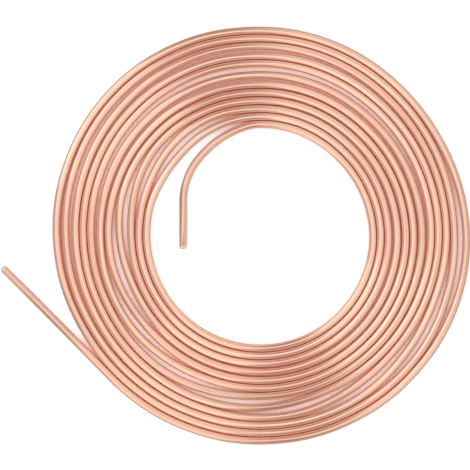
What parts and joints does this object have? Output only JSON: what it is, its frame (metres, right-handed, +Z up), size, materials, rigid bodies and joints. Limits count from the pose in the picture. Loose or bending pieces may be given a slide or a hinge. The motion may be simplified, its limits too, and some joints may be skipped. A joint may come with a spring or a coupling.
{
  "type": "copper tube coil",
  "caption": "Flat spiral coil of soft round copper tube, wound in one layer with an open middle, its inner and outer tails loose and slightly lifted, both ends cut square and open.",
  "frame": {"origin": "on the floor under the middle of the footprint, the outer tail included", "axes": "+Z up, square to the coil's plane; +X from the outer tail's end across the coil, the longest extent; +Y towards the side of the coil where the inner tail leaves it"},
  "size_m": [0.305, 0.2714, 0.0097],
  "materials": {
    "copper": "bright drawn copper, satin, unlacquered"
  },
  "bodies": {
    "root": {"copper_tube": "copper"}
  },
  "joints": []
}
